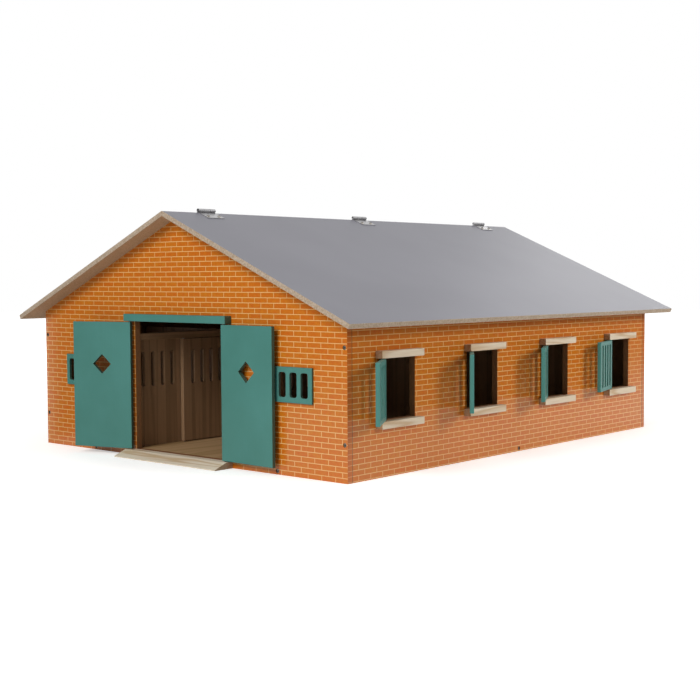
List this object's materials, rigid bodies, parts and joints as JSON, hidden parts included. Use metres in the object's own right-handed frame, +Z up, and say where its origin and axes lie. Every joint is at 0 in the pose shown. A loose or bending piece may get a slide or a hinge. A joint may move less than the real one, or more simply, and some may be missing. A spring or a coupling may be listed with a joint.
{
  "type": "toy horse stable",
  "caption": "Board-built toy horse stable with brick-printed walls, a lift-up roof half, pivoting front doors, slotted window shutters and gated stalls along a central aisle.",
  "frame": {"origin": "on the table under the middle of the house", "axes": "+Z up, front gable towards -Y, the lift-up roof half and the pictured window wall towards +X"},
  "size_m": [0.6352, 0.7385, 0.3108],
  "materials": {
    "brick_board": "fibreboard with a matt brick print",
    "green_paint": "satin green lacquer on fibreboard",
    "natural_wood": "bare sanded pine",
    "stall_wood": "bare birch plywood",
    "floor_wood": "plain fibreboard",
    "roof_board": "fibreboard with a matt grey coat",
    "zinc_steel": "bright zinc plate"
  },
  "bodies": {
    "house": {"floor_board": "floor_wood", "front_gable_wall": "brick_board", "rear_gable_wall": "brick_board", "left_side_wall": "brick_board", "right_side_wall": "brick_board", "entrance_ramp": "natural_wood", "door_lintel": "green_paint", "left_front_window": "green_paint", "right_front_window": "green_paint", "left_roof_panel": "roof_board", "left_stall_front": "stall_wood", "right_stall_front": "stall_wood", "left_window_sill_1": "natural_wood", "left_window_lintel_1": "natural_wood", "left_window_sill_2": "natural_wood", "left_window_lintel_2": "natural_wood", "left_window_sill_3": "natural_wood", "left_window_lintel_3": "natural_wood", "left_window_sill_4": "natural_wood", "left_window_lintel_4": "natural_wood", "left_stall_partitions": "stall_wood", "left_stall_rail": "stall_wood", "right_window_sill_1": "natural_wood", "right_window_lintel_1": "natural_wood", "right_window_sill_2": "natural_wood", "right_window_lintel_2": "natural_wood", "right_window_sill_3": "natural_wood", "right_window_lintel_3": "natural_wood", "right_window_sill_4": "natural_wood", "right_window_lintel_4": "natural_wood", "right_stall_partitions": "stall_wood", "right_stall_rail": "stall_wood", "pivot_pins": "zinc_steel", "board_screws": "zinc_steel", "ridge_hinge_fixed_leaves": "zinc_steel", "ridge_hinge_fixed_screws": "zinc_steel", "ridge_hinge_pins": "zinc_steel"},
    "roof_lid": {"right_roof_panel": "roof_board", "ridge_hinge_lid_leaves": "zinc_steel", "ridge_hinge_lid_screws": "zinc_steel"},
    "left_door": {"left_door": "green_paint"},
    "right_door": {"right_door": "green_paint"},
    "left_shutter_1": {"left_shutter_1": "green_paint"},
    "left_stall_gate_1": {"left_stall_gate_1": "stall_wood"},
    "left_shutter_2": {"left_shutter_2": "green_paint"},
    "left_stall_gate_2": {"left_stall_gate_2": "stall_wood"},
    "left_shutter_3": {"left_shutter_3": "green_paint"},
    "left_stall_gate_3": {"left_stall_gate_3": "stall_wood"},
    "left_shutter_4": {"left_shutter_4": "green_paint"},
    "left_stall_gate_4": {"left_stall_gate_4": "stall_wood"},
    "right_shutter_1": {"right_shutter_1": "green_paint"},
    "right_stall_gate_1": {"right_stall_gate_1": "stall_wood"},
    "right_shutter_2": {"right_shutter_2": "green_paint"},
    "right_stall_gate_2": {"right_stall_gate_2": "stall_wood"},
    "right_shutter_3": {"right_shutter_3": "green_paint"},
    "right_stall_gate_3": {"right_stall_gate_3": "stall_wood"},
    "right_shutter_4": {"right_shutter_4": "green_paint"},
    "right_stall_gate_4": {"right_stall_gate_4": "stall_wood"}
  },
  "joints": [
    {"name": "roof_lid_hinge", "type": "hinge", "parent": "house", "child": "roof_lid", "pos_m": [0, 0, 0.30856], "axis": [0, -1, 0], "range_deg": [0, 225]},
    {"name": "left_door_pivot", "type": "hinge", "parent": "house", "child": "left_door", "pos_m": [-0.0863, -0.341, 0.009], "axis": [0, 0, -1], "range_deg": [-162.2, 17.8]},
    {"name": "right_door_pivot", "type": "hinge", "parent": "house", "child": "right_door", "pos_m": [0.0863, -0.341, 0.009], "axis": [0, 0, 1], "range_deg": [-178.2, 1.8]},
    {"name": "left_shutter_1_pivot", "type": "hinge", "parent": "house", "child": "left_shutter_1", "pos_m": [-0.279, -0.22318, 0.0644], "axis": [0, 0, -1], "range_deg": [-163.8, 16.2]},
    {"name": "left_stall_gate_1_pivot", "type": "hinge", "parent": "house", "child": "left_stall_gate_1", "pos_m": [-0.0902, -0.24805, 0.008], "axis": [0, 0, -1], "range_deg": [0, 165]},
    {"name": "left_shutter_2_pivot", "type": "hinge", "parent": "house", "child": "left_shutter_2", "pos_m": [-0.279, -0.05593, 0.0644], "axis": [0, 0, -1], "range_deg": [-151, 29]},
    {"name": "left_stall_gate_2_pivot", "type": "hinge", "parent": "house", "child": "left_stall_gate_2", "pos_m": [-0.0902, -0.0848, 0.008], "axis": [0, 0, -1], "range_deg": [0, 165]},
    {"name": "left_shutter_3_pivot", "type": "hinge", "parent": "house", "child": "left_shutter_3", "pos_m": [-0.279, 0.11132, 0.0644], "axis": [0, 0, -1], "range_deg": [-144, 36]},
    {"name": "left_stall_gate_3_pivot", "type": "hinge", "parent": "house", "child": "left_stall_gate_3", "pos_m": [-0.0902, 0.07845, 0.008], "axis": [0, 0, -1], "range_deg": [0, 165]},
    {"name": "left_shutter_4_pivot", "type": "hinge", "parent": "house", "child": "left_shutter_4", "pos_m": [-0.279, 0.27858, 0.0644], "axis": [0, 0, -1], "range_deg": [-146.3, 33.7]},
    {"name": "left_stall_gate_4_pivot", "type": "hinge", "parent": "house", "child": "left_stall_gate_4", "pos_m": [-0.0902, 0.2417, 0.008], "axis": [0, 0, -1], "range_deg": [0, 165]},
    {"name": "right_shutter_1_pivot", "type": "hinge", "parent": "house", "child": "right_shutter_1", "pos_m": [0.279, -0.27858, 0.0644], "axis": [0, 0, -1], "range_deg": [-146.3, 33.7]},
    {"name": "right_stall_gate_1_pivot", "type": "hinge", "parent": "house", "child": "right_stall_gate_1", "pos_m": [0.0902, -0.24805, 0.008], "axis": [0, 0, 1], "range_deg": [0, 165]},
    {"name": "right_shutter_2_pivot", "type": "hinge", "parent": "house", "child": "right_shutter_2", "pos_m": [0.279, -0.11132, 0.0644], "axis": [0, 0, -1], "range_deg": [-144, 36]},
    {"name": "right_stall_gate_2_pivot", "type": "hinge", "parent": "house", "child": "right_stall_gate_2", "pos_m": [0.0902, -0.0848, 0.008], "axis": [0, 0, 1], "range_deg": [0, 165]},
    {"name": "right_shutter_3_pivot", "type": "hinge", "parent": "house", "child": "right_shutter_3", "pos_m": [0.279, 0.05593, 0.0644], "axis": [0, 0, -1], "range_deg": [-151, 29]},
    {"name": "right_stall_gate_3_pivot", "type": "hinge", "parent": "house", "child": "right_stall_gate_3", "pos_m": [0.0902, 0.07845, 0.008], "axis": [0, 0, 1], "range_deg": [0, 165]},
    {"name": "right_shutter_4_pivot", "type": "hinge", "parent": "house", "child": "right_shutter_4", "pos_m": [0.279, 0.22318, 0.0644], "axis": [0, 0, -1], "range_deg": [-163.8, 16.2]},
    {"name": "right_stall_gate_4_pivot", "type": "hinge", "parent": "house", "child": "right_stall_gate_4", "pos_m": [0.0902, 0.2417, 0.008], "axis": [0, 0, 1], "range_deg": [0, 165]}
  ]
}
